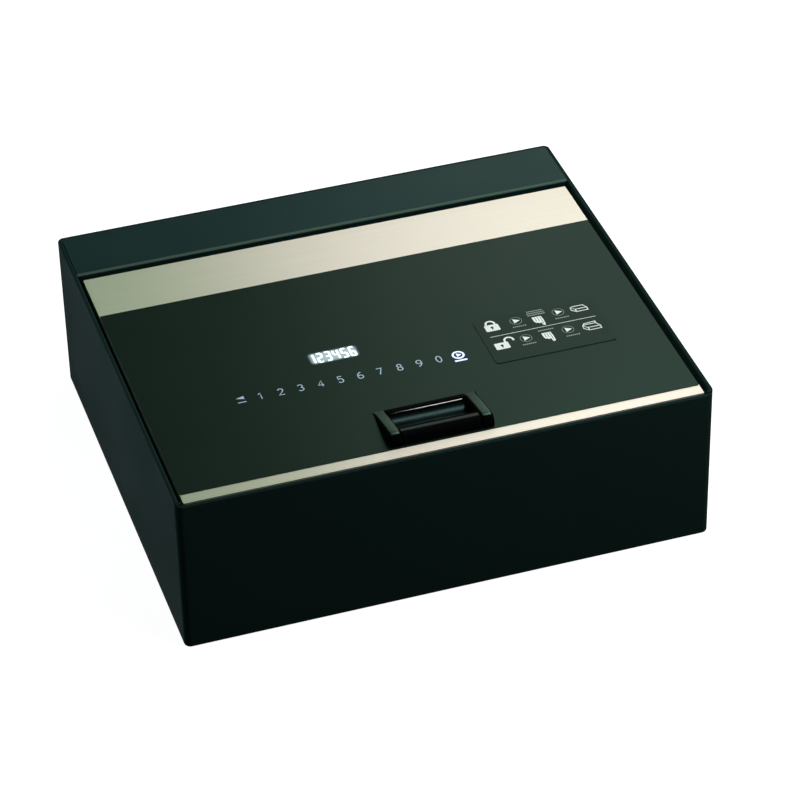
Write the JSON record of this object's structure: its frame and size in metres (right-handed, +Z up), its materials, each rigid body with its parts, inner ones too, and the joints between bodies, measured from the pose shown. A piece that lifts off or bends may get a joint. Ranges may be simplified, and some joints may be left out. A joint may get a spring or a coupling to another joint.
{
  "type": "top-opening safe",
  "caption": "Low steel drawer safe with a sunken hinged lid, brushed strips, black touch panel, pull handle and motor-driven front bolts.",
  "frame": {"origin": "middle of the underside of the tub", "axes": "+X to the right along the front, +Y from the front to the hinge side, +Z up"},
  "size_m": [0.4, 0.35, 0.1361],
  "materials": {
    "body_paint": "fine powder coat, satin, very dark green-grey",
    "frame_paint": "powder coat, satin",
    "buffer_rubber": "matt",
    "mat_felt": "needle felt",
    "zinc_steel": "zinc plated, pressed",
    "screw_steel": "zinc plated",
    "ground_steel": "ground and polished",
    "spring_steel": "drawn wire",
    "lid_paint": "powder coat, satin",
    "brushed_champagne": "brushed along X and anodised champagne",
    "panel_black": "back-painted acrylic, satin front",
    "label_film": "printed polyester film",
    "circuit_board": "solder mask",
    "display_housing": "moulded display block",
    "handle_plastic": "moulded black, satin cheeks and glossy scoop",
    "motor_steel": "drawn can",
    "moulded_plastic": "injection moulded, fine grain",
    "spacer_nylon": "moulded nylon",
    "cell_wrap": "plain shrink wrap",
    "contact_nickel": "nickel plated",
    "gear_brass": "cut teeth",
    "printed_ink": "screen printed",
    "display_light": "lit segments"
  },
  "bodies": {
    "safe_body": {"body_shell": "body_paint", "rear_deck": "body_paint", "lid_rest_frame": "frame_paint", "rest_buffers": "buffer_rubber", "floor_mat": "mat_felt", "hinge_bracket_left": "zinc_steel", "hinge_bracket_right": "zinc_steel", "hinge_pin_left": "ground_steel", "hinge_pin_right": "ground_steel", "torsion_spring_left": "spring_steel", "torsion_spring_right": "spring_steel", "bracket_nuts": "zinc_steel"},
    "lid": {"lid_plate": "lid_paint", "cover_sheet": "brushed_champagne", "control_panel": "panel_black", "instruction_label": "label_film", "touch_board": "circuit_board", "display_module": "display_housing", "handle_cheeks": "handle_plastic", "grip_bar": "handle_plastic", "finger_scoop": "handle_plastic", "handle_screws": "screw_steel", "hinge_leaf_left": "zinc_steel", "hinge_leaf_right": "zinc_steel", "hinge_leaf_screws": "screw_steel", "bolt_guide_left": "zinc_steel", "bolt_guide_right": "zinc_steel", "lock_motor": "motor_steel", "gearbox_case": "moulded_plastic", "control_board": "circuit_board", "board_spacers": "spacer_nylon", "inner_cover": "lid_paint", "inner_cover_screws": "screw_steel", "battery_tray": "moulded_plastic", "battery_cells": "cell_wrap", "battery_contacts": "contact_nickel"},
    "bolt_carriage": {"locking_bolt_left": "ground_steel", "locking_bolt_right": "ground_steel", "bolt_crossbar": "zinc_steel", "drive_rack": "gear_brass", "crossbar_screws": "screw_steel"},
    "pinion": {"drive_pinion": "gear_brass"},
    "door": {"battery_door": "moulded_plastic"}
  },
  "joints": [
    {"name": "lid_hinge", "type": "hinge", "parent": "safe_body", "child": "lid", "pos_m": [0, 0.10304, 0.1157], "axis": [-1, 0, 0], "range_deg": [0, 75], "stiffness_Nm_per_rad": 2.45, "springref_deg": 128.92},
    {"name": "bolt_slide", "type": "slide", "parent": "lid", "child": "bolt_carriage", "axis": [0, -1, 0], "range_m": [0, 0.012]},
    {"name": "pinion_spin", "type": "hinge", "parent": "lid", "child": "pinion", "pos_m": [-0.009, -0.072, 0.106], "axis": [0, 0, 1], "range_deg": [0, 76.5]},
    {"name": "battery_door_slide", "type": "slide", "parent": "lid", "child": "door", "axis": [1, 0, 0], "range_m": [0, 0.06]}
  ],
  "couplings": [
    {"joint": "pinion_spin", "follows": "bolt_slide", "rad_per_m": 111.11}
  ]
}
